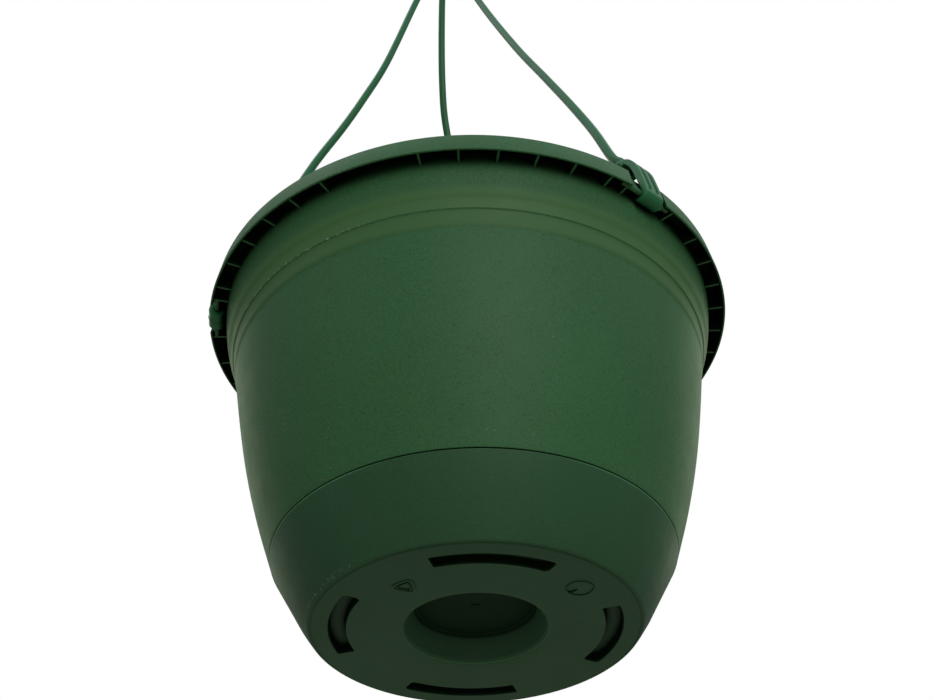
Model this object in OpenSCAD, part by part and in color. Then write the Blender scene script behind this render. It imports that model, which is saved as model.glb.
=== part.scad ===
// Hanging basket: tapered pot, push-on saucer and a three-strand hanger that clips on the rim.
// Millimetres, +Z up, origin at the centre of the saucer's flat base.

/* [Pot] */
// Outer radius of the rim's top edge
rim_r = 125; // [124:0.5:127]
// Height of the rim's top face above the base
rim_z = 173; // [172:0.5:176]
// Thickness of the pot's wall
wall_t = 1.5; // [1.2:0.1:2]
// Thickness of the rim's flange
flange_t = 2; // [1.6:0.1:2.4]
// Height of the rim's hanging skirt
skirt_h = 11.3; // [11:0.1:12]
// How far the skirt flares out at its lower edge
skirt_flare = 2.4; // [2:0.1:3]
// Thickness of the skirt at its lower edge
skirt_edge = 1; // [0.8:0.1:1.5]
// Height of each of the two steps in the upper wall, above the base
step_z = [131.5, 139.3];
// Number of drain holes in the pot's floor
drain_holes = 6; // [4:1:8]
// Diameter of a drain hole
drain_d = 8; // [6:0.5:10]

/* [Rim ribs] */
// Thickness of a rib under the rim
rib_t = 1; // [0.8:0.1:1.4]
// Angle between neighbouring ribs
rib_pitch = 8; // [7.5:0.1:8.2]

/* [Saucer] */
// Height of the saucer's top edge
saucer_h = 31.7; // [31:0.1:31.8]
// Thickness of the saucer
saucer_t = 1.4; // [1.2:0.1:1.5]
// Radius of the central well's mouth
well_r = 31.4; // [30:0.2:33]
// Depth of the central well
well_depth = 11.8; // [10:0.2:12]
// Radius of the middle of the four base recesses
recess_r = 59.1; // [57:0.1:60]
// Width of a base recess
recess_w = 7; // [5:0.5:8]
// Length of a base recess, in degrees
recess_angle = 48; // [40:1:55]
// Depth of a base recess
recess_depth = 3.6; // [2:0.1:4]

/* [Hanger] */
// Directions of the three clips: right, far and left
clip_angles = [-48, 70.5, 189]; // [-180:0.5:360]
// Width of a clip
clip_w = 11; // [10:0.2:12]
// How far the middle of each notch lies to the side of its clip
notch_shift = [-2.5, 0, 0]; // [-3:0.5:3]
// Radius of the bar that a clip rocks on
bar_r = 1.4; // [1.3:0.05:1.5]
// Running clearance between a bar or a strand's cross bar and its bore
clearance = 0.07; // [0.05:0.01:0.1]
// Width of a strand at its lower end
strand_w = 4.6; // [4:0.1:5]
// Thickness of a strand at its thickest, just above its clip
strand_t = 4.4; // [4:0.1:4.8]
// Inner radius of the hook
hook_r = 14; // [12:0.5:16]
// Thickness of the hook's bow
hook_t = 5.5; // [5:0.1:6]
// Width of the hook
hook_w = 6; // [5:0.1:8]

/* [Hidden] */
$fn = 96;
pot_green = [0.20, 0.31, 0.21];
saucer_green = [0.15, 0.24, 0.18];
hanger_green = [0.30, 0.43, 0.35];

// Pot wall: outer radius and height, from the shoulder above the saucer up to the flange.
neck_r = 119.2;
shoulder_z = saucer_h + 0.4;
wall = [
    [89.7, shoulder_z], [92.6, 41], [96.1, 52], [99.5, 64], [102.5, 76], [105.1, 88], [107.3, 100],
    [109.3, 112], [111.0, 123], [112.0, step_z[0]], [112.7, step_z[0] + 0.6], [113.9, 136],
    [114.5, step_z[1]], [115.2, step_z[1] + 0.6], [116.6, 146], [117.8, 152], [118.7, 158],
    [neck_r, 164], [neck_r, rim_z - flange_t]
];
floor_z = 14;
floor_t = 1.6;
foot = [[76.6, floor_z], [78.2, floor_z + 1.2], [87.3, shoulder_z - 1.4], [87.3, shoulder_z]];
skirt_z = rim_z - skirt_h;
rib_z = skirt_z + 0.5;
edge_round = 0.8;

// The bar across each notch, and the clip that hooks under it. Radial distance and height.
bar_at = [123.6, rim_z - 9.3];
bar_len = 29;
notch_w = 21;
notch_r = 121.6;
curl_t = 2.6;
bore_r = bar_r + clearance;
pin_r = 1.2;
eye_at = [113.2, rim_z + 17.2];
eye_r = 2.8;
pin_len = clip_w + 2.6;
web_outline = [[118.6, 0], [notch_r, 0], [123.9, -8.3], [122.8, -8.6], [120.4, -flange_t],
               [118.6, -flange_t]];
// Outline of the clip's strap, from the curl at the bar up, over the rim and in to the eye.
strap_outer = [[127.6, -9.8], [126.9, -4.5], [125.8, 0.6], [124.8, 5.2], [123.6, 9.4],
               [121.7, 13.4], [119.4, 16.5], [116.8, 18.6], [113.2, 20.0]];
strap_inner = [[113.2, 16.6], [115.4, 16.2], [117.4, 14.4], [119.2, 11.6], [120.6, 8.2],
               [121.6, 4.4], [122.6, 0], [123.8, -5.2], [124.6, -8.2], [125.07, -9.8]];
strap_rib_w = 1.9;
groove_depth = 0.7;

// Strand routes, from the eye in each clip to the hub under the hook.
hub_at = [-9, 0, 483];
route_right = [[75.7, -84.1, 190.4], [74.6, -82.3, 197], [70.5, -79, 205], [64, -72.5, 231],
               [55, -64, 261], [44, -53, 296],
               [30.5, -38.5, 340], [12.5, -19, 406], [-4, -5.5, 470], [-5.8, -3.4, 483]];
route_far = [[37.8, 106.7, 190.4], [37, 104.5, 197], [34.5, 101, 207], [26, 92, 232],
             [13, 79, 266], [2, 63, 305],
             [-9, 44, 359], [-11.5, 30, 393], [-10.5, 12, 448], [-8, 5, 483]];
route_left = [[-111.8, -17.7, 190.4], [-109.7, -17.3, 197], [-105, -16.6, 207], [-94, -14.7, 241],
              [-81, -12.5, 276],
              [-66.5, -10, 308], [-55.5, -8, 335], [-43, -6, 369], [-26, -3, 430],
              [-14, -1, 470], [-13.2, -0.6, 483]];
// How a strand tapers: share of the way up, and its size there as a share of the full size.
width_along = [[0, 1], [1, 0.8]];
thick_along = [[0, 0.77], [0.06, 0.77], [0.11, 1], [1, 0.76]];
rings_per_leg = 2;

// --- helpers ---

// Point at parameter t on a smooth curve through b and c, with a and d as its neighbours.
function curve(a, b, c, d, t) =
    0.5 * (2 * b + (c - a) * t + (2 * a - 5 * b + 4 * c - d) * t * t
           + (3 * b - a - 3 * c + d) * t * t * t);
function clamp_index(pts, i) = pts[max(0, min(len(pts) - 1, i))];
function smooth_route(pts) = concat(
    [for (i = [0 : len(pts) - 2], k = [0 : rings_per_leg - 1])
        curve(clamp_index(pts, i - 1), pts[i], pts[i + 1], clamp_index(pts, i + 2),
              k / rings_per_leg)],
    [pts[len(pts) - 1]]);
function unit(v) = v / norm(v);
// Eight-sided flat section, with its wide side along the given side direction.
function section_ring(p, dir, side, share) =
    let (n = unit(cross(dir, side)), s = cross(n, dir), w = strand_w / 2 * lookup(share, width_along),
         h = strand_t / 2 * lookup(share, thick_along), c = 0.9)
    [for (q = [[w, h - c], [w - c, h], [c - w, h], [-w, h - c],
               [-w, c - h], [c - w, -h], [w - c, -h], [w, c - h]])
        p + s * q[0] + n * q[1]];

module strand_tube(route, side) {
    pts = smooth_route(route);
    n = len(pts);
    rings = [for (i = [0 : n - 1])
        each section_ring(pts[i], unit(clamp_index(pts, i + 1) - clamp_index(pts, i - 1)), side,
                          i / (n - 1))];
    sides = [for (i = [0 : n - 2], k = [0 : 7])
        each [[i * 8 + k, (i + 1) * 8 + k, i * 8 + (k + 1) % 8],
              [i * 8 + (k + 1) % 8, (i + 1) * 8 + k, (i + 1) * 8 + (k + 1) % 8]]];
    ends = [[for (k = [0 : 7]) k], [for (k = [7 : -1 : 0]) (n - 1) * 8 + k]];
    polyhedron(points = rings, faces = concat(sides, ends), convexity = 6);
}

// Turns a flat outline of radial distance and height into a slab across the radius.
module slab(width) {
    rotate([90, 0, 0]) linear_extrude(height = width, center = true) children();
}

module bar(at, r, length) {
    translate([at[0], 0, at[1]]) rotate([90, 0, 0]) cylinder(r = r, h = length, center = true);
}

// --- pot ---

// Each gap between clips has its ribs mirrored about its middle.
function rib_angles() = concat(
    [for (k = [0 : 4], s = [-1, 1]) 250.5 + s * (10.6 + k * rib_pitch)],
    [for (s = [-1, 1]) 250.5 + s * 50.8],
    [for (k = [0 : 5], s = [0, 1]) s == 0 ? -32 + k * rib_pitch : 173 - k * rib_pitch],
    [for (k = [0 : 4], s = [0, 1]) s == 0 ? 16 + k * rib_pitch : 125 - k * rib_pitch],
    [for (a = clip_angles, s = [-1, 1]) a + s * 6.4]);

module pot_shell() {
    inner = [for (p = wall) p - [wall_t, 0]];
    rotate_extrude($fn = 180) polygon(concat(
        [[0, floor_z]], foot, wall,
        [[rim_r + 0.4 - wall_t, rim_z - flange_t], [rim_r + skirt_flare - skirt_edge, skirt_z],
         [rim_r + skirt_flare, skirt_z], [rim_r + 0.1, rim_z - edge_round],
         [rim_r - edge_round, rim_z], [neck_r - wall_t + 0.4, rim_z],
         [neck_r - wall_t, rim_z - 0.4]],
        [for (i = [len(inner) - 2 : -1 : 1]) inner[i]],
        [[foot[2][0] - wall_t + 0.4, shoulder_z + 1.2], [foot[1][0] - wall_t, floor_z + floor_t + 1],
         [foot[1][0] - wall_t - 1.2, floor_z + floor_t], [0, floor_z + floor_t]]));
}

module rib(angle) {
    top = rim_z - flange_t / 2;
    rotate([0, 0, angle]) slab(rib_t)
        polygon([[neck_r - 0.5, rib_z], [rim_r + skirt_flare - skirt_edge / 2, rib_z],
                 [rim_r - 0.5, top], [neck_r - 0.5, top]]);
}

module pot() {
    color(pot_green) {
        difference() {
            union() {
                pot_shell();
                for (a = rib_angles()) rib(a);
            }
            for (i = [0 : 2]) rotate([0, 0, clip_angles[i]])
                translate([notch_r, notch_shift[i] - notch_w / 2, skirt_z - 2])
                    cube([12, notch_w, skirt_h + 4]);
            for (k = [0 : drain_holes - 1]) rotate([0, 0, k * 360 / drain_holes])
                translate([52, 0, floor_z - 1]) cylinder(d = drain_d, h = floor_t + 2);
        }
        for (i = [0 : 2]) rotate([0, 0, clip_angles[i]]) translate([0, notch_shift[i], 0]) {
            slab(notch_w + 1) translate([0, rim_z]) polygon(web_outline);
            bar(bar_at, bar_r, bar_len);
        }
    }
}

// --- saucer ---

module saucer_shell() {
    t = saucer_t;
    side = [[70.6, 0], [71.7, 0.6], [73.0, 2.5], [74.9, 5.2], [77.4, 9.2], [79.8, 13.6],
            [saucer_h / 2 + 73.5, saucer_h]];
    well = [[well_r - 5.8, well_depth], [well_r - 1.2, 1.6], [well_r + 0.4, 0]];
    rotate_extrude($fn = 180) polygon(concat(
        [[0, well_depth]], well, side,
        [[side[6][0] - t, saucer_h], [79.8 - t, 13.9], [74.2 - t, 6.2], [71.4, t + 1.3], [70, t]],
        [[well_r + 2, t], [well_r - 4.4, well_depth + t], [0, well_depth + t]]));
}

// An arc-shaped block that stands between two radii.
module arc_block(r1, r2, z1, z2, angle) {
    rotate([0, 0, -angle / 2])
        rotate_extrude(angle = angle, $fn = 180)
            polygon([[r1, z1], [r2, z1], [r2, z2], [r1, z2]]);
}

module saucer() {
    r1 = recess_r - recess_w / 2;
    r2 = recess_r + recess_w / 2;
    color(saucer_green) difference() {
        union() {
            saucer_shell();
            for (k = [0 : 3]) rotate([0, 0, 7.5 + k * 90])
                arc_block(r1 - saucer_t, r2 + saucer_t, saucer_t / 2, recess_depth + saucer_t,
                          recess_angle + 3);
        }
        for (k = [0 : 3]) rotate([0, 0, 7.5 + k * 90])
            arc_block(r1, r2, -1, recess_depth, recess_angle);
    }
}

// --- hanger ---

module clip_outline() {
    difference() {
        union() {
            difference() {
                translate(bar_at) circle(r = bore_r + curl_t);
                translate(bar_at) polygon([[0, 0], [8, 0], [8, 8], [-8, 8], [-8, 2.2]]);
            }
            translate([0, rim_z]) polygon(concat(strap_outer, strap_inner));
            translate(eye_at) circle(r = eye_r);
        }
        translate(bar_at) circle(r = bore_r);
        translate(eye_at) circle(r = pin_r + clearance);
    }
}

// The strap is thinner between its three stiffening ribs.
module strap_channel() {
    translate([0, rim_z]) polygon(concat(
        [for (i = [1 : 6]) strap_outer[i] - [groove_depth, groove_depth / 2]],
        [for (i = [6 : -1 : 1]) strap_outer[i] + [2, 1]]));
}

module clip(angle) {
    channel_w = (clip_w - 3 * strap_rib_w) / 2;
    color(hanger_green) rotate([0, 0, angle]) difference() {
        slab(clip_w) clip_outline();
        for (s = [-1, 1]) translate([0, s * (channel_w + strap_rib_w) / 2, 0])
            slab(channel_w) strap_channel();
        translate([eye_at[0] - eye_r - 1, -strand_w / 2 - 0.3, eye_at[1] - eye_r - 1])
            cube([eye_r + 3.2, strand_w + 0.6, 2 * eye_r + 3]);
    }
}

module strand(route, angle) {
    color(hanger_green) {
        strand_tube(route, [-sin(angle), cos(angle), 0]);
        rotate([0, 0, angle]) bar(eye_at, pin_r, pin_len);
    }
}

module clip_right() clip(clip_angles[0]);
module clip_far() clip(clip_angles[1]);
module clip_left() clip(clip_angles[2]);
module strand_right() strand(route_right, clip_angles[0]);
module strand_far() strand(route_far, clip_angles[1]);
module strand_left() strand(route_left, clip_angles[2]);

module hook() {
    hub_h = 10;
    shank_h = 26;
    bow_z = hub_h + shank_h + hook_r;
    color(hanger_green) translate(hub_at) {
        cylinder(r1 = 8, r2 = 6, h = hub_h);
        rotate([90, 0, 0]) linear_extrude(height = hook_w, center = true) {
            translate([-hook_t / 2, hub_h - 2]) square([hook_t, shank_h]);
            difference() {
                translate([0, bow_z]) circle(r = hook_r + hook_t);
                translate([0, bow_z]) circle(r = hook_r);
                translate([0, bow_z]) polygon([[0, 0], [-24, -2], [-24, -24], [-hook_t / 2, -24]]);
            }
            translate([-hook_r - hook_t / 2, bow_z - 0.8]) circle(d = hook_t);
        }
    }
}

pot();
saucer();
hook();
strand_right();
strand_far();
strand_left();
clip_right();
clip_far();
clip_left();
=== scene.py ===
"""Looks for the hanging basket: pot, push-on saucer, three clips, three strands and a hook.

Lengths below are millimetres unless a name says otherwise, and become metres when a mesh is made.
+Z is up, the origin is the centre of the saucer's flat base, and azimuths are degrees from +X.
"""

import math

import bmesh
import bpy
from mathutils import Euler, Matrix, Vector


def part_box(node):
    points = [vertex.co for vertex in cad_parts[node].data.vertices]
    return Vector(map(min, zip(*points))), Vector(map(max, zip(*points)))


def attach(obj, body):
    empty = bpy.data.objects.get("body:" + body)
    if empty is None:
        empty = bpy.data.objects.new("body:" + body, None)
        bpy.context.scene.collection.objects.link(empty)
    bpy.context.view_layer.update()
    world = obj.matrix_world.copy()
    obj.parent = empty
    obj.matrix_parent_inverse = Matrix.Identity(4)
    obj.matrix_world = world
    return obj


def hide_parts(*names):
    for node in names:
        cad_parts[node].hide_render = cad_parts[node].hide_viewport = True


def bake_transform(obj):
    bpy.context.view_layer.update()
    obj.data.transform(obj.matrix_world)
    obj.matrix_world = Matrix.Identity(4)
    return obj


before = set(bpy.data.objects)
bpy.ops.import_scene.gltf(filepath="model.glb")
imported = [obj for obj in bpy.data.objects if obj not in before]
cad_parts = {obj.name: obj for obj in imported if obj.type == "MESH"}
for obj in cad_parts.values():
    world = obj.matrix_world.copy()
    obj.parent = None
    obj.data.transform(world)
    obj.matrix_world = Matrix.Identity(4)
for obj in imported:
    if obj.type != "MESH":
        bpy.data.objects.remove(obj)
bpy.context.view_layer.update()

# --- driving dimensions ---

MM = 0.001
RIM_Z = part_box("pot")[1].z / MM
SAUCER_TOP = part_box("saucer")[1].z / MM
HOOK_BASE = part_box("hook")[0].z / MM
HOOK_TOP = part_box("hook")[1].z / MM

RIM_R = 125.0
SKIRT_R = 127.4
SKIRT_H = 11.3
SKIRT_EDGE = 1.0
NECK_R = 119.2
WALL_T = 1.5
FLANGE_T = 2.0
FLOOR_Z = 14.0
FLOOR_T = 1.6
DRAIN_HOLES = 6
DRAIN_R = 4.0
DRAIN_CIRCLE_R = 52.0
RIB_W = 1.0
RIB_EDGE = 0.28

CLIPS = {"right": -48.0, "far": 70.5, "left": 189.0}
NOTCH_ASIDE = {"right": -2.5, "far": 0.0, "left": 0.0}
CLIP_W = 11.0
CLIP_RIB_W = 1.9
CLIP_GROOVE = 0.7
BAR_R = 1.4
BAR_LEN = 29.0
BAR_AT = Vector((123.6, RIM_Z - 9.3))
CURL_T = 2.6
CURL_BORE = 1.47
EYE_AT = Vector((113.2, RIM_Z + 17.2))
EYE_R = 2.8
PIN_R = 1.2
PIN_LEN = CLIP_W + 2.6
NOTCH_R = 121.6
NOTCH_HALF = 10.5

STRAND_W = 4.6
STRAND_T = 4.4
# how a strand tapers: share of the way up, then its size there as a share of the full size
WIDTH_ALONG = [(0, 1), (1, 0.8)]
THICK_ALONG = [(0, 0.77), (0.06, 0.77), (0.11, 1), (1, 0.76)]

POCKET_R = 59.1
POCKET_W = 7.0
POCKET_DEPTH = 3.6
POCKET_ANGLE = 48.0
POCKET_TURN = 7.5
WELL_R = 31.4
WELL_DEPTH = 11.8
SAUCER_T = 1.4
SAUCER_R = 89.75

HUB_X = -9.0
HOOK_R = 14.0
HOOK_T = 5.5
HOOK_W = 6.0

# light from each height of the sky: the sine of its elevation, then its colour
SKY = [(-1.0, (0.29, 0.26, 0.22)), (-0.4, (0.22, 0.205, 0.185)), (0.0, (0.15, 0.15, 0.14)),
       (0.3, (0.22, 0.22, 0.21)), (0.7, (0.4, 0.42, 0.43)), (1.0, (0.6, 0.64, 0.68))]
SKY_STRENGTH = 1.1

DUST = (0.42, 0.46, 0.40)
POT_GREEN = (0.038, 0.136, 0.051)
SAUCER_GREEN = (0.031, 0.104, 0.048)
HANGER_GREEN = (0.024, 0.160, 0.064)
WHITE = (1, 1, 1)
PALE_YELLOW_GREEN = (0.82, 1.0, 0.66)
# name, place, the point it faces, diameter (all in metres), watts and colour
LIGHTS = [("sky_left", (-1.2, -0.2, 2.4), (0, 0, 0.12), 1.6, 7, WHITE),
          ("sky_right", (1.5, -0.4, 2.2), (0, 0, 0.12), 1.6, 5, WHITE),
          ("edge_left", (-1.35, 1.6, 1.2), (0, 0, 0.1), 1.2, 4, PALE_YELLOW_GREEN),
          ("edge_right", (1.4, 1.56, 1.2), (0, 0, 0.1), 1.2, 4.5, PALE_YELLOW_GREEN),
          ("front", (0.6, -2.2, 0.7), (0, 0, 0.1), 1.6, 19.5, WHITE)]

# the floor: half its side and its height, in metres, and how strongly it glows
FLOOR_HALF = 6.0
FLOOR_HEIGHT = -1.1
FLOOR_GLOW = 0.4

# painted shade that darkens a gap: how far round a surface looks for others, its gloss outside and
# inside
PAINTED_SHADE_REACH = 16.0
OPEN_GLOSS = 0.22
GAP_GLOSS = 0.04
REFRACTION = 1.49

# where the plastic's local marks start and end: painted light bands, scuffs, painted lip highlights and
# painted shade in hollows
BAND_FADE = 0.7
SCUFF_START = (-112, -92)
SCUFF_END = (-35, -60)
LIP_SIDES = (28, 62)
HOLLOW_FADE = 1.2
HOLLOW_BELOW = (-2.5, -1.0)
HOLLOW_ABOVE = (1.0, 0.5)

# meshes: how near points are when they weld, steps in a rounded corner, degrees that make a sharp edge
WELD = 0.0005
CORNER_STEPS = 4
SHARP_ANGLE = 30

# the raised marks under the saucer: how far they stand out, and how deep they start inside it
MARK_HEIGHT = 0.45
MARK_SINK = 0.25

scene = bpy.context.scene


# --- camera, light and stage ---

def make_camera():
    """A low camera in front of the basket, looking up at it."""
    data = bpy.data.cameras.new("camera")
    data.sensor_width = 36.0
    data.lens = 54.5
    data.clip_end = 50.0
    camera = bpy.data.objects.new("camera", data)
    camera.location = (0.0, -0.5415, -0.2876)
    camera.rotation_euler = Euler([math.radians(a) for a in (129.2165, 1.1739, 1.0473)], "XYZ")
    scene.collection.objects.link(camera)
    scene.camera = camera


def make_world():
    """White to the camera, and a soft grey room that is brightest overhead to the object."""
    world = bpy.data.worlds.new("studio")
    scene.world = world
    world.use_nodes = True
    tree = world.node_tree
    tree.nodes.clear()
    new = tree.nodes.new
    link = tree.links.new
    coord = new("ShaderNodeTexCoord")
    split = new("ShaderNodeSeparateXYZ")
    ramp = new("ShaderNodeValToRGB")
    stops = ramp.color_ramp.elements
    while len(stops) < len(SKY):
        stops.new(1.0)
    for stop, (height, light) in zip(stops, SKY):
        stop.position = (height + 1) / 2
        stop.color = (*light, 1)
    shift = new("ShaderNodeMath")
    shift.operation = "MULTIPLY_ADD"
    shift.inputs[1].default_value = 0.5
    shift.inputs[2].default_value = 0.5
    lit = new("ShaderNodeBackground")
    lit.inputs["Strength"].default_value = SKY_STRENGTH
    seen = new("ShaderNodeBackground")
    seen.inputs["Color"].default_value = (1, 1, 1, 1)
    path = new("ShaderNodeLightPath")
    mix = new("ShaderNodeMixShader")
    out = new("ShaderNodeOutputWorld")
    link(coord.outputs["Generated"], split.inputs[0])
    link(split.outputs["Z"], shift.inputs[0])
    link(shift.outputs[0], ramp.inputs["Fac"])
    link(ramp.outputs["Color"], lit.inputs["Color"])
    link(path.outputs["Is Camera Ray"], mix.inputs["Fac"])
    link(lit.outputs[0], mix.inputs[1])
    link(seen.outputs[0], mix.inputs[2])
    link(mix.outputs[0], out.inputs["Surface"])


def soft_light(name, place, aim, size, watts, color):
    """A round area light at a place, turned to face another. Both are in metres."""
    data = bpy.data.lights.new(name, "AREA")
    data.color = color
    data.shape = "DISK"
    data.size = size
    data.energy = watts
    light = bpy.data.objects.new(name, data)
    light.location = place
    light.rotation_euler = (Vector(aim) - Vector(place)).to_track_quat("-Z", "Y").to_euler()
    scene.collection.objects.link(light)


def make_stage():
    """A pale, faintly glowing floor far below the hanging basket. It sheds no light on it."""
    floor_mesh = bpy.data.meshes.new("floor")
    half = FLOOR_HALF
    corners = [(-half, -half, 0), (half, -half, 0), (half, half, 0), (-half, half, 0)]
    floor_mesh.from_pydata(corners, [], [(0, 1, 2, 3)])
    floor = bpy.data.objects.new("floor", floor_mesh)
    floor.location.z = FLOOR_HEIGHT
    scene.collection.objects.link(floor)
    material = bpy.data.materials.new("pale_floor")
    material.use_nodes = True
    shader = material.node_tree.nodes["Principled BSDF"]
    shader.inputs["Base Color"].default_value = (0.78, 0.78, 0.76, 1)
    shader.inputs["Roughness"].default_value = 0.8
    shader.inputs["Emission Color"].default_value = (0.8, 0.8, 0.78, 1)
    shader.inputs["Emission Strength"].default_value = FLOOR_GLOW
    floor_mesh.materials.append(material)
    floor.visible_diffuse = False
    floor.visible_glossy = False


# --- materials ---

class Nodes:
    """Short names for building one material's node tree."""

    def __init__(self, name):
        self.material = bpy.data.materials.new(name)
        self.material.use_nodes = True
        self.tree = self.material.node_tree
        self.shader = self.tree.nodes["Principled BSDF"]
        self.coord = self.tree.nodes.new("ShaderNodeTexCoord")

    def link(self, a, b):
        self.tree.links.new(a, b)

    def place(self, stretch=(1, 1, 1)):
        node = self.tree.nodes.new("ShaderNodeMapping")
        node.inputs["Scale"].default_value = stretch
        self.link(self.coord.outputs["Object"], node.inputs["Vector"])
        return node.outputs["Vector"]

    def noise(self, scale, detail=3.0, roughness=0.5, stretch=(1, 1, 1)):
        node = self.tree.nodes.new("ShaderNodeTexNoise")
        node.inputs["Scale"].default_value = scale
        node.inputs["Detail"].default_value = detail
        node.inputs["Roughness"].default_value = roughness
        self.link(self.place(stretch), node.inputs["Vector"])
        return node.outputs["Fac"]

    def cells(self, scale):
        """Distance to the nearest of many scattered points."""
        node = self.tree.nodes.new("ShaderNodeTexVoronoi")
        node.inputs["Scale"].default_value = scale
        self.link(self.place(), node.inputs["Vector"])
        return node.outputs["Distance"]

    def ramp(self, value, low, high):
        """0 below low, 1 above high."""
        node = self.tree.nodes.new("ShaderNodeMapRange")
        node.interpolation_type = "SMOOTHSTEP"
        node.inputs["From Min"].default_value = low
        node.inputs["From Max"].default_value = high
        self.link(value, node.inputs["Value"])
        return node.outputs["Result"]

    def within(self, value, rise_mm, fall_mm):
        """1 in the middle. It fades in over rise_mm, and out from the second of fall_mm to the first."""
        rise = self.ramp(value, rise_mm[0] * MM, rise_mm[1] * MM)
        fall = self.ramp(value, fall_mm[0] * MM, fall_mm[1] * MM)
        return self.product(rise, fall)

    def between(self, value, low, high):
        """0 to 1 stretched to low to high."""
        node = self.tree.nodes.new("ShaderNodeMapRange")
        node.inputs["To Min"].default_value = low
        node.inputs["To Max"].default_value = high
        self.link(value, node.inputs["Value"])
        return node.outputs["Result"]

    def product(self, a, b):
        node = self.tree.nodes.new("ShaderNodeMath")
        node.operation = "MULTIPLY"
        for i, v in enumerate((a, b)):
            if isinstance(v, float):
                node.inputs[i].default_value = v
            else:
                self.link(v, node.inputs[i])
        return node.outputs[0]

    def mix(self, factor, first, second):
        node = self.tree.nodes.new("ShaderNodeMix")
        node.data_type = "RGBA"
        self.link(factor, node.inputs["Factor"])
        for key, value in ((6, first), (7, second)):
            if isinstance(value, tuple):
                node.inputs[key].default_value = (*value, 1)
            else:
                self.link(value, node.inputs[key])
        return node.outputs[2]

    def bump(self, height, strength, distance_mm, under=None):
        node = self.tree.nodes.new("ShaderNodeBump")
        node.inputs["Strength"].default_value = strength
        node.inputs["Distance"].default_value = distance_mm * MM
        self.link(height, node.inputs["Height"])
        if under is not None:
            self.link(under, node.inputs["Normal"])
        return node.outputs["Normal"]

    def part(self, axis):
        """One of the three coordinates, in metres."""
        node = self.tree.nodes.new("ShaderNodeSeparateXYZ")
        self.link(self.coord.outputs["Object"], node.inputs[0])
        return node.outputs[axis]

    def radius(self):
        """Distance from the Z axis, in metres."""
        node = self.tree.nodes.new("ShaderNodeVectorMath")
        node.operation = "LENGTH"
        self.link(self.place((1, 1, 0)), node.inputs[0])
        return node.outputs["Value"]

    def size_of(self, value):
        """The value without its sign."""
        node = self.tree.nodes.new("ShaderNodeMath")
        node.operation = "ABSOLUTE"
        self.link(value, node.inputs[0])
        return node.outputs[0]

    def shelter(self, reach_mm):
        """Ambient occlusion for painted shade: 1 in the open and less inside a narrow gap."""
        node = self.tree.nodes.new("ShaderNodeAmbientOcclusion")
        node.inputs["Distance"].default_value = reach_mm * MM
        return node.outputs["AO"]

    def edges(self):
        """Pointiness: above a half on outside edges, below in creases."""
        node = self.tree.nodes.new("ShaderNodeNewGeometry")
        return node.outputs["Pointiness"]


def tone(color, factor):
    """A colour made darker or lighter by a factor."""
    return tuple(c * factor for c in color)


def speckled(n, color, grain, specks):
    """The moulded colour: soft tone changes, a matt grain, pale dust in places and a few dark flecks."""
    cloud = n.ramp(n.noise(14.0, 4.0), 0.35, 0.7)
    flow = n.ramp(n.noise(60.0, 3.0, stretch=(1, 1, 0.12)), 0.3, 0.75)
    base = n.mix(cloud, tone(color, 0.93), tone(color, 1.08))
    base = n.mix(n.product(flow, 0.25), base, tone(color, 1.14))
    mottle = n.ramp(n.noise(1000.0, 2.0, 0.6), 0.36, 0.66)
    base = n.mix(n.product(mottle, 0.5 * grain), base, tone(color, 1.22))
    pits = n.ramp(n.noise(1500.0, 1.0), 0.42, 0.3)
    base = n.mix(n.product(pits, 0.5 * grain), base, tone(color, 0.6))
    sparse = n.ramp(n.noise(26.0, 5.0, 0.6), 0.57, 0.68)
    dots = n.product(n.ramp(n.cells(420.0), 0.13, 0.09), sparse)
    base = n.mix(n.product(dots, specks), base, DUST)
    flecks = n.product(n.ramp(n.cells(95.0), 0.062, 0.05), specks)
    return n.mix(flecks, base, tone(color, 0.3))


def wear_and_painted_edge_light(n, base, color, wear_and_highlight, scuffs):
    """Outside edges lighter with wear and painted highlight, creases darker with painted shade, and
    dusty chips along the left of some edges.
    """
    # outside edges: paler partly from wear and partly as a painted highlight
    rub_and_highlight = n.ramp(n.edges(), 0.52, 0.62)
    patchy = n.ramp(n.noise(180.0, 3.0), 0.35, 0.65)
    base = n.mix(n.product(n.product(rub_and_highlight, patchy), wear_and_highlight), base, tone(color, 1.7))
    # painted shade: creases darkened
    base = n.mix(n.product(n.ramp(n.edges(), 0.485, 0.44), 0.3), base, tone(color, 0.5))
    for height, reach, strength in scuffs:
        band = n.within(n.part("Z"), (height - reach, height), (height + reach, height))
        left = n.within(n.part("X"), SCUFF_START, SCUFF_END)
        chips = n.product(n.ramp(n.noise(900.0, 3.0), 0.56, 0.64), n.product(band, left))
        base = n.mix(n.product(chips, strength), base, DUST)
    return base


def painted_light_marks(n, base, color, painted_light_bands, rings):
    """Painted light: paler bands at some heights, and pale highlight rings at some distances from the
    axis.
    """
    for low, high, fade, light in painted_light_bands:
        band = n.within(n.part("Z"), (low - BAND_FADE, low), (high + fade, high))
        base = n.mix(band, base, light)
    # painted highlight rings, such as round the well's mouth
    for radius, reach, strength in rings:
        ring = n.within(n.radius(), (radius - reach, radius), (radius + reach, radius))
        base = n.mix(n.product(ring, strength), base, tone(color, 2.4))
    return base


def painted_hollow_shade(n, base, gloss, color, hollows):
    """Painted shade inside a hollow, just under its ceiling: darker and duller. Returns the colour and
    the gloss.
    """
    for radius, ceiling, strength in hollows:
        near = n.ramp(n.radius(), (radius + HOLLOW_FADE) * MM, radius * MM)
        below = (ceiling + HOLLOW_BELOW[0], ceiling + HOLLOW_BELOW[1])
        above = (ceiling + HOLLOW_ABOVE[0], ceiling + HOLLOW_ABOVE[1])
        hollow = n.product(near, n.within(n.part("Z"), below, above))
        base = n.mix(n.product(hollow, strength), base, tone(color, 0.3))
        gloss = n.product(gloss, n.between(hollow, 1.0, 0.2))
    return base, gloss


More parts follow.
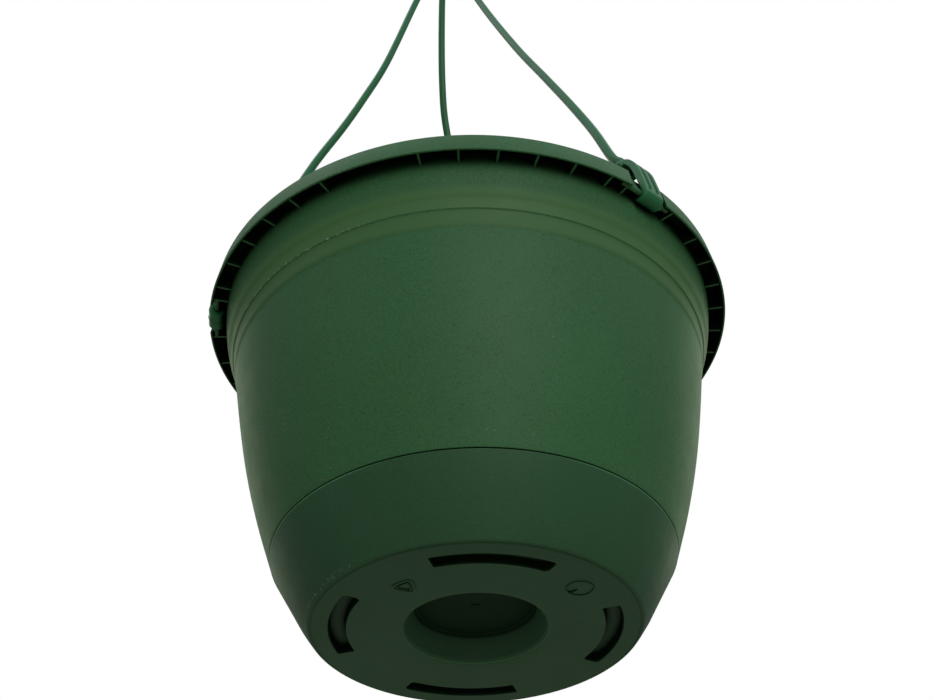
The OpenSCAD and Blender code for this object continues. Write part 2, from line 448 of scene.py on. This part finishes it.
def painted_lip_highlights(n, base, color, lips):
    """A painted highlight: a pale line along the top of an edge, towards the basket's left and right."""
    for height, reach, strength in lips:
        line = n.ramp(n.part("Z"), (height - reach) * MM, (height - reach / 2) * MM)
        sides = n.ramp(n.size_of(n.part("X")), LIP_SIDES[0] * MM, LIP_SIDES[1] * MM)
        base = n.mix(n.product(n.product(line, sides), strength), base, tone(color, 2.2))
    return base


def moulded_surface(n, rough, grain):
    """Uneven shine, soft waves and a matt grain."""
    shine = n.between(n.noise(90.0, 4.0), rough - 0.07, rough + 0.09)
    n.link(shine, n.shader.inputs["Roughness"])
    waves = n.bump(n.noise(38.0, 2.0), 0.25, 0.35)
    matt = n.bump(n.noise(1400.0, 3.0, 0.6), 0.7 * grain, 0.09, waves)
    n.link(matt, n.shader.inputs["Normal"])


def plastic(name, color, rough, grain=1.0, specks=0.35, wear_and_highlight=0.3, scuffs=(), lips=(), painted_light_bands=(),
            hollows=(), rings=(), shade=(0.66, 0.22)):
    """Moulded polypropylene. Its local marks are rows of places, in mm, and how strong they are.

    painted_light_bands (painted light): lowest height, highest height, fade above, colour. rings
    (painted highlights): distance from the axis, reach, strength. scuffs, and lips (painted highlights):
    height,
    reach, strength. hollows (painted shade): distance from the axis, height of the ceiling, strength.
    shade: how open a place is where the painted shade in a gap starts and is full.
    """
    n = Nodes(name)
    # ambient occlusion sets where colour and gloss are darkened as painted shade in gaps
    gap = n.ramp(n.shelter(PAINTED_SHADE_REACH), *shade)
    gloss = n.between(gap, OPEN_GLOSS, GAP_GLOSS)
    base = speckled(n, color, grain, specks)
    base = painted_light_marks(n, base, color, painted_light_bands, rings)
    base = wear_and_painted_edge_light(n, base, color, wear_and_highlight, scuffs)
    base, gloss = painted_hollow_shade(n, base, gloss, color, hollows)
    # painted shade: colour darkened in gaps, such as the channels under the rim
    base = n.mix(gap, base, tone(color, 0.1))
    base = painted_lip_highlights(n, base, color, lips)
    n.link(base, n.shader.inputs["Base Color"])
    n.shader.inputs["IOR"].default_value = REFRACTION
    n.link(gloss, n.shader.inputs["Specular IOR Level"])
    moulded_surface(n, rough, grain)
    return n.material


# --- shapes ---

def arc_corner(before, corner, after, radius):
    """The points of a rounded corner between two straight stretches."""
    a = (before - corner).normalized()
    b = (after - corner).normalized()
    half = math.acos(max(-1.0, min(1.0, a.dot(b)))) / 2
    reach = radius / math.tan(half)
    centre = corner + (a + b).normalized() * (radius / math.sin(half))
    start = corner + a * reach - centre
    sweep = start.angle_signed(corner + b * reach - centre)
    made = []
    for i in range(CORNER_STEPS + 1):
        spin = Matrix.Rotation(-sweep * i / CORNER_STEPS, 2)
        made.append(centre + spin @ start)
    return made


def rounded(outline):
    """A closed outline from (x, y) or (x, y, corner radius) points."""
    points = [Vector(p[:2]) for p in outline]
    made = []
    for i, p in enumerate(outline):
        if len(p) == 2:
            made.append(points[i])
        else:
            after = points[(i + 1) % len(points)]
            made += arc_corner(points[i - 1], points[i], after, p[2])
    return made


def catmull(points, per_leg):
    """A smooth line through the points, of any dimension."""
    line = []
    last = len(points) - 1
    for i in range(last):
        a = points[max(i - 1, 0)]
        b = points[i]
        c = points[i + 1]
        d = points[min(i + 2, last)]
        for k in range(per_leg):
            t = k / per_leg
            line.append(0.5 * (2 * b + (c - a) * t + (2 * a - 5 * b + 4 * c - d) * t * t
                               + (3 * b - a - 3 * c + d) * t ** 3))
    line.append(points[last])
    return line


def from_grid(name, rings, close_ends=False, loop=False):
    """A mesh from rings of points. Each ring is closed. loop joins the last ring to the first."""
    vertices = []
    numbers = []
    for ring in rings:
        ids = []
        for p in ring:
            vertices.append(Vector(p) * MM)
            ids.append(len(vertices) - 1)
        numbers.append(ids)
    faces = []
    count = len(rings)
    for i in range(count if loop else count - 1):
        a = numbers[i]
        b = numbers[(i + 1) % count]
        for k in range(len(a)):
            m = (k + 1) % len(a)
            faces.append((a[k], a[m], b[m], b[k]))
    if close_ends:
        faces.append(tuple(reversed(numbers[0])))
        faces.append(tuple(numbers[-1]))
    mesh = bpy.data.meshes.new(name)
    mesh.from_pydata(vertices, [], faces)
    return finish_mesh(name, mesh)


def finish_mesh(name, mesh):
    """Welds points that coincide, turns faces outward and puts the mesh in the scene."""
    work = bmesh.new()
    work.from_mesh(mesh)
    bmesh.ops.remove_doubles(work, verts=work.verts, dist=WELD * MM)
    bmesh.ops.dissolve_degenerate(work, edges=work.edges, dist=WELD * MM)
    bmesh.ops.recalc_face_normals(work, faces=work.faces)
    work.to_mesh(mesh)
    work.free()
    piece = bpy.data.objects.new(name, mesh)
    scene.collection.objects.link(piece)
    return piece


def smooth(piece, angle):
    """Smooth shading, with an edge wherever two faces meet at more than the angle."""
    piece.data.polygons.foreach_set("use_smooth", [True] * len(piece.data.polygons))
    piece.data.set_sharp_from_angle(angle=math.radians(angle))


def polar(radius, azimuth, z):
    """A point from its distance from the axis, its azimuth and its height."""
    a = math.radians(azimuth)
    return Vector((radius * math.cos(a), radius * math.sin(a), z))


def lathe(name, outline, columns=None, lift=None):
    """Turns a closed outline of (radius, height) points round the Z axis."""
    columns = columns or [i * 1.5 for i in range(240)]
    rings = []
    for p in outline:
        ring = []
        for azimuth in columns:
            rise = lift(p, azimuth) if lift else 0.0
            ring.append(polar(p.x, azimuth, p.y + rise))
        rings.append(ring)
    return from_grid(name, rings, loop=True)


def plate(name, outline, width, azimuth, edge, aside=0.0):
    """A slab of (radius, height) outline, centred across the given azimuth, with rounded edges."""
    mesh = bpy.data.meshes.new(name)
    work = bmesh.new()
    front = [work.verts.new((p[0] * MM, (aside - width / 2) * MM, p[1] * MM)) for p in outline]
    back = [work.verts.new((p[0] * MM, (aside + width / 2) * MM, p[1] * MM)) for p in outline]
    work.faces.new(front)
    work.faces.new(list(reversed(back)))
    for i in range(len(outline)):
        k = (i + 1) % len(outline)
        work.faces.new((front[i], front[k], back[k], back[i]))
    sharp = [e for e in work.edges if e.calc_face_angle(0.0) > math.radians(SHARP_ANGLE)]
    bmesh.ops.bevel(work, geom=sharp, offset=edge * MM, segments=2, affect="EDGES")
    bmesh.ops.rotate(work, verts=work.verts, matrix=Matrix.Rotation(math.radians(azimuth), 3, "Z"))
    work.to_mesh(mesh)
    work.free()
    return finish_mesh(name, mesh)


def rod(name, radius, length, at, azimuth, edge=0.3, sides=28, aside=0.0):
    """A round bar that lies across the given azimuth, with rounded ends."""
    half = length / 2
    stations = [(-half, radius - edge), (-half + edge, radius), (half - edge, radius),
                (half, radius - edge)]
    rings = []
    for offset, r in stations:
        ring = []
        for i in range(sides):
            a = 2 * math.pi * i / sides
            local = Vector((at[0] + r * math.cos(a), offset + aside, at[1] + r * math.sin(a)))
            ring.append(turned(local, azimuth))
        rings.append(ring)
    return from_grid(name, rings, close_ends=True)


def turned(local, azimuth):
    """A point given as (radius, sideways, height), carried round to an azimuth."""
    return Matrix.Rotation(math.radians(azimuth), 3, "Z") @ local


def join(name, parts):
    """One mesh object from several."""
    whole = parts[0]
    work = bmesh.new()
    for part in parts:
        work.from_mesh(part.data)
    work.to_mesh(whole.data)
    work.free()
    for part in parts[1:]:
        bpy.data.objects.remove(part)
    whole.name = name
    whole.data.name = name
    return whole


def cut(piece, cutter):
    """Takes the cutter's shape out of the piece."""
    modifier = piece.modifiers.new("cut", "BOOLEAN")
    modifier.operation = "DIFFERENCE"
    modifier.solver = "EXACT"
    modifier.object = cutter
    evaluated = piece.evaluated_get(bpy.context.evaluated_depsgraph_get())
    mesh = bpy.data.meshes.new_from_object(evaluated)
    piece.modifiers.clear()
    piece.data = mesh
    bpy.data.objects.remove(cutter)


def dress(piece, material, body, angle=32.0, stands_for=()):
    """Shades a finished piece, gives it its material and puts it on its CAD body."""
    smooth(piece, angle)
    piece.data.materials.clear()
    piece.data.materials.append(material)
    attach(piece, body)
    if stands_for:
        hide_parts(*stands_for)
    return piece


# --- pot ---

WALL_LINE = [(89.7, 32.1), (92.6, 41), (96.1, 52), (99.5, 64), (102.5, 76), (105.1, 88),
             (107.3, 100), (109.3, 112), (111.0, 123), (111.9, 129.6)]
STEPS_LINE = [(112.1, 130.3), (112.35, 130.9), (112.6, 131.5), (112.75, 132.1), (112.87, 133.2),
              (113.0, 134.6), (113.2, 136.4), (113.45, 138.0), (113.75, 138.8, 0.15),
              (114.25, 139.3, 0.3), (114.5, 140.6), (114.9, 142.0), (115.25, 143.6), (115.8, 144.8)]
NECK_LINE = [(116.6, 146), (117.8, 152), (118.7, 158), (119.2, 164), (119.2, 169)]


def wall_outside():
    """The wall's outer line, from the shoulder over the saucer to just under the flange."""
    low = catmull([Vector(p) for p in WALL_LINE], 3)
    steps = rounded([WALL_LINE[-1], *STEPS_LINE, NECK_LINE[0]])[1:-1]
    neck = catmull([Vector(p) for p in NECK_LINE], 3)
    return low + steps + neck


def pot_outline():
    """The pot's whole section: foot, wall, flange, skirt and the inside, down to the floor."""
    outside = wall_outside()
    inside = [Vector((p.x - WALL_T, p.y)) for p in reversed(outside) if p.y > 37]
    skirt_z = RIM_Z - SKIRT_H
    shoulder = WALL_LINE[0][1]
    foot = rounded([(0, FLOOR_Z), (76.6, FLOOR_Z, 1.0), (78.4, FLOOR_Z + 1.4, 0.8),
                    (87.3, shoulder - 1.4, 0.5), (87.3, shoulder, 0.2), (89.7, shoulder, 0.35),
                    (90.6, shoulder + 2.9)])[1:-1]
    rim = rounded([(NECK_R, RIM_Z - 6), (NECK_R, RIM_Z - FLANGE_T, 0.8),
                   (RIM_R - 1.5, RIM_Z - FLANGE_T, 0.7), (SKIRT_R - SKIRT_EDGE, skirt_z, 0.3),
                   (SKIRT_R, skirt_z, 0.4), (RIM_R + 0.25, RIM_Z, 1.0),
                   (NECK_R - WALL_T, RIM_Z, 0.6), (NECK_R - WALL_T, RIM_Z - 4)])[1:-1]
    floor_top = FLOOR_Z + FLOOR_T
    base = rounded([(91.0 - WALL_T, 37), (86.2, shoulder + 1.2, 1.5), (77.2, floor_top, 1.8),
                    (0, floor_top)])[1:-1]
    bottom = [Vector((0.4, FLOOR_Z))]
    top = [Vector((0.4, floor_top))]
    return bottom + foot + outside[1:] + rim + inside + base + top


def notch_cutter(azimuth, aside):
    """What the rim loses where a clip hooks on."""
    corners = []
    for radius in (NOTCH_R, RIM_R + 10):
        for height in (RIM_Z - SKIRT_H - 3, RIM_Z + 4):
            for across in (aside - NOTCH_HALF, aside + NOTCH_HALF):
                corners.append(turned(Vector((radius, across, height)), azimuth) * MM)
    mesh = bpy.data.meshes.new("notch")
    faces = [(0, 1, 3, 2), (4, 6, 7, 5), (0, 2, 6, 4), (1, 5, 7, 3), (2, 3, 7, 6), (0, 4, 5, 1)]
    mesh.from_pydata(corners, [], faces)
    return finish_mesh("notch", mesh)


def drain_cutter(azimuth):
    """A round plug through the pot's floor."""
    centre = polar(DRAIN_CIRCLE_R, azimuth, 0)
    rings = []
    for z in (FLOOR_Z - 1, FLOOR_Z + FLOOR_T + 1):
        rings.append([centre + polar(DRAIN_R, k * 7.5, z) for k in range(48)])
    return from_grid("drain", rings, close_ends=True)


def rib_azimuths():
    """Ribs under the rim: mirrored about the middle of the front gap, and about the far clip."""
    front = (CLIPS["left"] + CLIPS["right"] + 360) / 2
    found = []
    for offset in (10.6, 18.6, 26.6, 34.6, 42.6, 50.8):
        found += [front - offset, front + offset]
    for k in range(11):
        found += [-32 + 8 * k, 173 - 8 * k]
    for azimuth in CLIPS.values():
        found += [azimuth - 6.4, azimuth + 6.4]
    return found


def make_rim_ribs(material):
    """Thin ribs between the neck and the skirt."""
    low = RIM_Z - SKIRT_H + 0.6
    high = RIM_Z - 1.2
    inside = NECK_R - 1.0
    rib_line = [(inside, low), (RIM_R + 0.9, low), (RIM_R - 1.0, high), (inside, high)]
    ribs = [plate("rib", rib_line, RIB_W, azimuth, RIB_EDGE) for azimuth in rib_azimuths()]
    dress(join("pot_rim_ribs", ribs), material, "pot")


def make_clip_bars(material):
    """At each notch, the bar a clip hooks on and the web that holds the bar."""
    web_line = [(120.0, RIM_Z - 0.6), (NOTCH_R - 0.1, RIM_Z - 0.6), (BAR_AT.x + 0.3, RIM_Z - 8.3),
                (BAR_AT.x - 0.8, RIM_Z - 8.6), (120.3, RIM_Z - 1.7)]
    for side, azimuth in CLIPS.items():
        aside = NOTCH_ASIDE[side]
        web = plate("web", web_line, 2 * NOTCH_HALF + 1, azimuth, 0.3, aside)
        bar = rod("bar", BAR_R, BAR_LEN, BAR_AT, azimuth, aside=aside)
        dress(join("pot_bar_" + side, [web, bar]), material, "pot")


def make_pot(material):
    """The shell with its three notches and its drain holes, then the ribs and the clips' bars."""
    shell = lathe("pot_shell", pot_outline())
    cutters = [notch_cutter(azimuth, NOTCH_ASIDE[side]) for side, azimuth in CLIPS.items()]
    cutters += [drain_cutter(k * 360 / DRAIN_HOLES) for k in range(DRAIN_HOLES)]
    cut(shell, join("cutters", cutters))
    dress(shell, material, "pot", 30.0, ["pot"])
    make_rim_ribs(material)
    make_clip_bars(material)


# --- saucer ---

# (radius, height) along the foot's small groove, up the outside and down the inside
SAUCER_FOOT = [(69.9, 0), (70.15, 0.42), (70.6, 0.6), (71.05, 0.42), (71.45, 0.46)]
SAUCER_SIDE = [(72.0, 0.9), (73.2, 2.6), (75.0, 5.3), (77.4, 9.2), (79.8, 13.6)]
SAUCER_INSIDE = [(78.4, 13.9), (74.6, 7.2), (71.9, 3.2), (69.4, 1.5)]


def pocket_columns():
    """Azimuths for the saucer's mesh: close together at the ends of the four base pockets."""
    found = []
    half = POCKET_ANGLE / 2
    near = [-1.6, -1.2, -0.9, -0.6, -0.35, -0.1, 0.15, 0.4, 0.7, 1.1, 1.6, 2.4]
    for k in range(4):
        middle = POCKET_TURN + 90 * k
        found += [middle - half + d for d in near]
        found += [middle + half - d for d in reversed(near)]
        found += [middle - half + 2.4 + (2 * half - 4.8) * i / 14 for i in range(1, 14)]
        gap = 90 - 2 * half - 3.2
        found += [middle + half + 1.6 + gap * i / 12 for i in range(1, 12)]
    return sorted(a % 360 for a in found)


def pocket_depth(radius, azimuth, grow=0.0):
    """How far a pocket rises above the base at a place, in mm. Its ends are rounded a little."""
    turn = (azimuth - POCKET_TURN + 45) % 90 - 45
    along = POCKET_R * math.radians(POCKET_ANGLE / 2) + grow - POCKET_R * abs(math.radians(turn))
    across = POCKET_W / 2 + grow - abs(radius - POCKET_R)
    corner = 1.6 if turn > 0 else 0.5
    if along < corner and across < corner:
        inside = corner - math.hypot(corner - along, corner - across)
    else:
        inside = min(along, across)
    run = 0.9 if turn > 0 else 0.7
    share = max(0.0, min(1.0, inside / run + 0.5))
    return POCKET_DEPTH * share * share * (3 - 2 * share)


def well_lines():
    """The raised middle of the base: its underside from the axis outward, and its top back inward."""
    under = rounded([(0, WELL_DEPTH), (WELL_R - 5.8, WELL_DEPTH, 1.4), (WELL_R - 1.1, 1.6, 1.2),
                     (WELL_R + 0.6, 0, 0.5), (40, 0)])[1:-1]
    top_z = WELL_DEPTH + SAUCER_T
    top = rounded([(40, SAUCER_T), (WELL_R + 2.0, SAUCER_T, 0.8), (WELL_R - 4.4, top_z, 1.4),
                   (0, top_z)])[1:-1]
    return [Vector((0.3, WELL_DEPTH))] + under, top + [Vector((0.3, top_z))]


def pocket_radii():
    """Distances from the axis for the saucer's mesh: close together at the pockets' long walls."""
    half = POCKET_W / 2
    near = [1.7, 1.2, 0.9, 0.65, 0.4, 0.2, 0.0, -0.2, -0.4, -0.65, -0.9, -1.3, -2.2]
    inner = [POCKET_R - half - d for d in near]
    return inner + [POCKET_R] + [POCKET_R + half + d for d in reversed(near)]


def saucer_outline():
    """The saucer's whole section: well, flat base, foot, side, lip and the inside back to the axis."""
    well, well_top = well_lines()
    walls = pocket_radii()
    flat = [Vector((r, 0)) for r in [36, 42, 48, 52, *walls, 65.6, 68.8]]
    foot = [Vector(p) for p in SAUCER_FOOT]
    outer = catmull([Vector(p) for p in SAUCER_SIDE], 3)
    edge = rounded([SAUCER_SIDE[-1], (SAUCER_R, SAUCER_TOP, 0.35),
                    (SAUCER_R - SAUCER_T, SAUCER_TOP, 0.35), SAUCER_INSIDE[0]])[1:-1]
    inner = catmull([Vector(p) for p in SAUCER_INSIDE], 3)
    above = [Vector((r, SAUCER_T + 0.1)) for r in [66.0, *reversed(walls), 52, 44, 37]]
    return well + flat + foot + outer + edge + inner[:-1] + above + well_top


def saucer_lift(point, azimuth):
    """How far the pockets push up a point of the section, on the underside or the top."""
    if not 50 < point.x < 67:
        return 0.0
    grow = SAUCER_T if point.y > SAUCER_T / 2 else 0.0
    return pocket_depth(point.x, azimuth, grow)


def base_marks():
    """Plain raised moulding marks on the base: a ring with a pointer, a triangle and a gate nub."""
    ring_at = polar(54.4, 322, 0)
    ring = [ring_at + polar(5.6, k * 7.5, 0) for k in range(48)]
    pointer = [ring_at + polar(d, 142 + t, 0) for d, t in ((1.5, 0), (5.2, 7), (5.2, -7))]
    triangle_at = polar(48, 234, 0)
    outer = rounded_triangle(triangle_at, 7.2, 234 + 60, 2.2)
    inner = rounded_triangle(triangle_at, 4.0, 234 + 60, 0.8)
    marks = [flat_loop("ring", ring, 0.6), flat_loop("tick", pointer, 0.55)]
    marks += [flat_loop("triangle", outer, 1.0), flat_loop("triangle_in", inner, 0.55)]
    return marks + [gate_nub()]


def gate_nub():
    """The small nub that moulding leaves in the middle of the well's ceiling."""
    section = ((1.9, 0.3), (1.7, -0.35), (1.2, -0.55), (0.5, -0.3), (0.1, -0.25), (0.1, 0.6),
               (1.9, 0.6))
    rings = []
    for r, z in section:
        rings.append([polar(r, k * 15, WELL_DEPTH + z) for k in range(24)])
    return from_grid("gate", rings, loop=True)


def rounded_triangle(centre, size, azimuth, corner):
    """A flat triangle round a centre, one of its tips at the azimuth."""
    tips = [centre + polar(size, azimuth + 120 * k, 0) for k in range(3)]
    return [Vector((p.x, p.y, 0)) for p in rounded([(t.x, t.y, corner) for t in tips])]


def flat_loop(name, line, width):
    """A thin raised line that follows a closed flat path under the base."""
    rings = []
    count = len(line)
    half = width / 2
    for i, p in enumerate(line):
        along = (line[(i + 1) % count] - line[i - 1]).normalized()
        side = Vector((-along.y, along.x, 0))
        profile = ((-half, MARK_SINK), (-half, -MARK_HEIGHT / 2), (-half / 2, -MARK_HEIGHT),
                   (half / 2, -MARK_HEIGHT), (half, -MARK_HEIGHT / 2), (half, MARK_SINK))
        rings.append([p + side * x + Vector((0, 0, z)) for x, z in profile])
    return from_grid(name, rings, loop=True)


def make_saucer(material):
    """The saucer's shell, and the marks under it."""
    shell = lathe("saucer_shell", saucer_outline(), pocket_columns(), saucer_lift)
    dress(shell, material, "saucer", 40.0, ["saucer"])
    marks = join("saucer_marks", base_marks())
    dress(marks, material, "saucer")


# --- clips ---

STRAP = [
    # outer radius and height above the rim, inner radius and height above the rim
    ((126.9, -4.5), (123.8, -5.2)),
    ((125.8, 0.6), (122.6, 0.0)),
    ((124.8, 5.2), (121.6, 4.4)),
    ((123.6, 9.4), (120.6, 8.2)),
    ((121.7, 13.4), (119.2, 11.6)),
    ((119.4, 16.5), (117.4, 14.4)),
    ((116.8, 18.6), (115.4, 16.2)),
]


def strap_stations():
    """Inner and outer points along a clip: round the bar, up the leg and over the rim."""
    stations = []
    first = 168
    for i in range(17):
        a = math.radians(first + (360 - first) * i / 16)
        way = Vector((math.cos(a), math.sin(a)))
        stations.append((BAR_AT + way * CURL_BORE, BAR_AT + way * (CURL_BORE + CURL_T)))
    rim = Vector((0, RIM_Z))
    inner = catmull([stations[-1][0]] + [Vector(p[1]) + rim for p in STRAP], 4)[1:]
    outer = catmull([stations[-1][1]] + [Vector(p[0]) + rim for p in STRAP], 4)[1:]
    return stations, list(zip(inner, outer))


def strap_ring(inner, outer, groove, azimuth, half=CLIP_W / 2, edge=0.35, seam=0.0):
    """One cross-section of the strap, with two grooves and a mould seam on the outer side."""
    thick = (outer - inner).length
    way = (outer - inner) / thick
    bank = 0.28
    rib_in = CLIP_RIB_W / 2
    rib_out = CLIP_W / 2 - CLIP_RIB_W
    across = [(-half, edge), (-half, thick - edge), (-half + edge, thick)]
    for low, high in ((-rib_out, -rib_in), (rib_in, rib_out)):
        across += [(low, thick), (low + bank, thick - groove)]
        across += [(high - bank, thick - groove), (high, thick)]
        if high < 0:
            across += [(-0.2, thick), (0.0, thick + seam), (0.2, thick)]
    across += [(half - edge, thick), (half, thick - edge), (half, edge), (half - edge, 0)]
    across += [(-half + edge, 0)]
    ring = []
    for side, depth in across:
        p = inner + way * depth
        ring.append(turned(Vector((p.x, side, p.y)), azimuth))
    return ring


def clip_strap(azimuth):
    """The clip's curl round the bar, and its grooved leg up over the rim."""
    curl, leg = strap_stations()
    rings = []
    for i, (inner, outer) in enumerate(curl):
        shrink = 0.5 if i == 0 else 0.0
        rings.append(strap_ring(inner, outer, 0.0, azimuth, CLIP_W / 2 - shrink, 0.2, 0.28))
    for i, (inner, outer) in enumerate(leg):
        groove = CLIP_GROOVE * min(1.0, i / 2, (len(leg) - i) / 5)
        rings.append(strap_ring(inner, outer, groove, azimuth))
    return from_grid("strap", rings, close_ends=True)


def make_clip(side, azimuth, material):
    """A strap, two ears, the pin between them and a small nub on one side of the curl."""
    parts = [clip_strap(azimuth)]
    gap = STRAND_W + 0.6
    knuckle_w = (CLIP_W - gap) / 2
    for way in (-1, 1):
        offset = way * (gap + knuckle_w) / 2
        parts.append(knuckle(azimuth, offset, knuckle_w))
    parts.append(rod("pin", PIN_R, PIN_LEN, EYE_AT, azimuth, 0.4))
    nub_side = -1 if side == "left" else 1
    nub_at = BAR_AT + Vector((0.6, -CURL_BORE - CURL_T / 2))
    parts.append(rod("nub", 1.0, 1.6, nub_at, azimuth, 0.3, 16, nub_side * (CLIP_W / 2 + 0.3)))
    clip = join("clip_" + side + "_moulding", parts)
    dress(clip, material, "clip_" + side, 38.0, ["clip_" + side])


def knuckle(azimuth, offset, width):
    """One of the two ears that carry the strand's cross bar."""
    edge = 0.4
    outline = []
    for k in range(21):
        a = math.radians(70 + 250 * k / 20)
        outline.append(EYE_AT + Vector((math.cos(a), math.sin(a))) * EYE_R)
    outline.append(Vector((117.2, RIM_Z + 15.2)))
    outline.append(Vector((116.6, RIM_Z + 18.6)))
    rings = []
    half = width / 2
    for side, inset in ((-half, edge), (-half + edge, 0), (half - edge, 0), (half, edge)):
        ring = []
        for p in outline:
            pull = EYE_AT + (p - EYE_AT) * (1 - inset / EYE_R)
            ring.append(turned(Vector((pull.x, offset + side, pull.y)), azimuth))
        rings.append(ring)
    return from_grid("knuckle", rings, close_ends=True)


# --- strands and hook ---

# (x, y, height) along each strand, from its clip's pin up into the hub
ROUTES = {
    "right": [(75.7, -84.1, 190.4), (74.6, -82.3, 197), (70.5, -79, 205), (64, -72.5, 231),
              (55, -64, 261), (44, -53, 296), (30.5, -38.5, 340), (12.5, -19, 406),
              (-4, -5.5, 470), (-5.8, -3.4, 483)],
    "far": [(37.8, 106.7, 190.4), (37, 104.5, 197), (34.5, 101, 207), (26, 92, 232),
            (13, 79, 266), (2, 63, 305), (-9, 44, 359), (-11.5, 30, 393), (-10.5, 12, 448),
            (-8, 5, 483)],
    "left": [(-111.8, -17.7, 190.4), (-109.7, -17.3, 197), (-105, -16.6, 207),
             (-94, -14.7, 241), (-81, -12.5, 276), (-66.5, -10, 308), (-55.5, -8, 335),
             (-43, -6, 369), (-26, -3, 430), (-14, -1, 470), (-13.2, -0.6, 483)],
}


def at_share(table, share):
    """Straight-line reading of a table of (share, value) rows."""
    for (a, low), (b, high) in zip(table, table[1:]):
        if share <= b:
            return low + (high - low) * (share - a) / (b - a)
    return table[-1][1]


def swept(name, path, section, side, widths=((0, 1), (1, 1)), depths=((0, 1), (1, 1))):
    """A section swept along a path, its width kept along the given side direction."""
    rings = []
    last = len(path) - 1
    for i, p in enumerate(path):
        along = (path[min(i + 1, last)] - path[max(i - 1, 0)]).normalized()
        normal = along.cross(side).normalized() * at_share(depths, i / last)
        across = normal.cross(along).normalized() * at_share(widths, i / last)
        rings.append([p + across * x + normal * y for x, y in section])
    return from_grid(name, rings, close_ends=True)


def strand_section():
    """Flat on both sides, with a soft ridge along the outer face."""
    w = STRAND_W / 2
    h = STRAND_T / 2
    points = rounded([(-w, -h * 0.45, 0.5), (-w * 0.55, -h, 0.4), (w * 0.55, -h, 0.4),
                      (w, -h * 0.45, 0.5), (w, h * 0.45, 0.5), (w * 0.2, h, 0.5),
                      (-w * 0.2, h, 0.5), (-w, h * 0.45, 0.5)])
    return [(p.x, p.y) for p in points]


def make_strand(side, azimuth, material):
    """A cord that follows the pot at its lower end and the hook at its upper end."""
    path = catmull([Vector(p) for p in ROUTES[side]], 9)
    a = math.radians(azimuth)
    strand = swept("strand_" + side + "_cord", path, strand_section(),
                   Vector((-math.sin(a), math.cos(a), 0)), WIDTH_ALONG, THICK_ALONG)
    smooth(strand, 28.0)
    strand.data.materials.append(material)
    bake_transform(strand)
    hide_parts("strand_" + side)


def rounded_box_section(width, height, corner):
    """The outline of a bar with rounded corners."""
    w = width / 2
    h = height / 2
    points = rounded([(-w, -h, corner), (w, -h, corner), (w, h, corner), (-w, h, corner)])
    return [(p.x, p.y) for p in points]


def hook_hub():
    """The cone-shaped hub that gathers the three strands."""
    line = rounded([(0.2, 0), (8, 0, 0.6), (6, 10, 0.8), (0.2, 10)])
    hub = lathe("hub", line, [k * 7.5 for k in range(48)])
    hub.data.transform(Matrix.Translation(Vector((HUB_X, 0, HOOK_BASE)) * MM))
    return hub


def hook_path():
    """Up the shank, then round the open bow."""
    middle = HOOK_R + HOOK_T / 2
    bow_z = HOOK_TOP - HOOK_R - HOOK_T
    path = []
    for k in range(13):
        path.append(Vector((HUB_X, 0, HOOK_BASE + 9 + (bow_z - middle - HOOK_BASE - 13) * k / 12)))
    path.append(Vector((HUB_X + 0.6, 0, bow_z - middle - 1.6)))
    for k in range(41):
        a = math.radians(-74 + 257 * k / 40)
        path.append(Vector((HUB_X, 0, bow_z)) + middle * Vector((math.cos(a), 0, math.sin(a))))
    return catmull(path, 2)


def hook_tip(at):
    """The rounded end of the bow."""
    ball = bmesh.new()
    bmesh.ops.create_uvsphere(ball, u_segments=24, v_segments=14, radius=HOOK_T / 2 * MM)
    bmesh.ops.translate(ball, verts=ball.verts, vec=at * MM)
    mesh = bpy.data.meshes.new("tip")
    ball.to_mesh(mesh)
    ball.free()
    return finish_mesh("tip", mesh)


def make_hook(material):
    """A cone-shaped hub, a flat shank and an open bow, in the XZ plane."""
    path = hook_path()
    section = rounded_box_section(HOOK_W, HOOK_T, 1.3)
    parts = [hook_hub(), swept("bow", path, section, Vector((0, 1, 0))), hook_tip(path[-1])]
    hook = join("hook_moulding", parts)
    dress(hook, material, "hanger", 35.0, ["hook"])


# --- build ---

make_camera()
make_world()
make_stage()
for light_row in LIGHTS:
    soft_light(*light_row)

pot_scuffs = [(139.4, 0.6, 0.9), (161.9, 0.5, 0.35)]
# painted light: paler bands above the wall's two creases
pot_painted_light_bands = [(131.0, 138.2, 0.8, (0.058, 0.160, 0.055)), (139.6, 145.0, 7.0, (0.068, 0.180, 0.062))]
make_pot(plastic("pot_green", POT_GREEN, rough=0.52, grain=1.4, scuffs=pot_scuffs, painted_light_bands=pot_painted_light_bands,
                 shade=(0.72, 0.26)))
saucer_scuffs = [(SAUCER_TOP, 1.2, 0.5), (1.6, 1.6, 0.3)]
# painted highlight along the saucer's top edge
saucer_lip_highlights = [(SAUCER_TOP, 1.0, 0.9)]
well_shadow = [(WELL_R - 4.5, WELL_DEPTH, 0.95)]
# painted highlight ring round the well's mouth
well_mouth_highlight = [(WELL_R + 0.1, 0.5, 0.6)]
make_saucer(plastic("saucer_green", SAUCER_GREEN, rough=0.48, grain=0.7, specks=0.14, wear_and_highlight=0.7,
                    scuffs=saucer_scuffs, lips=saucer_lip_highlights, hollows=well_shadow, rings=well_mouth_highlight,
                    shade=(0.92, 0.5)))
hanger_material = plastic("hanger_green", HANGER_GREEN, rough=0.34, grain=0.3, specks=0.1, wear_and_highlight=0.9)
for clip_side, clip_azimuth in CLIPS.items():
    make_clip(clip_side, clip_azimuth, hanger_material)
    make_strand(clip_side, clip_azimuth, hanger_material)
make_hook(hanger_material)

scene.view_settings.view_transform = "Standard"
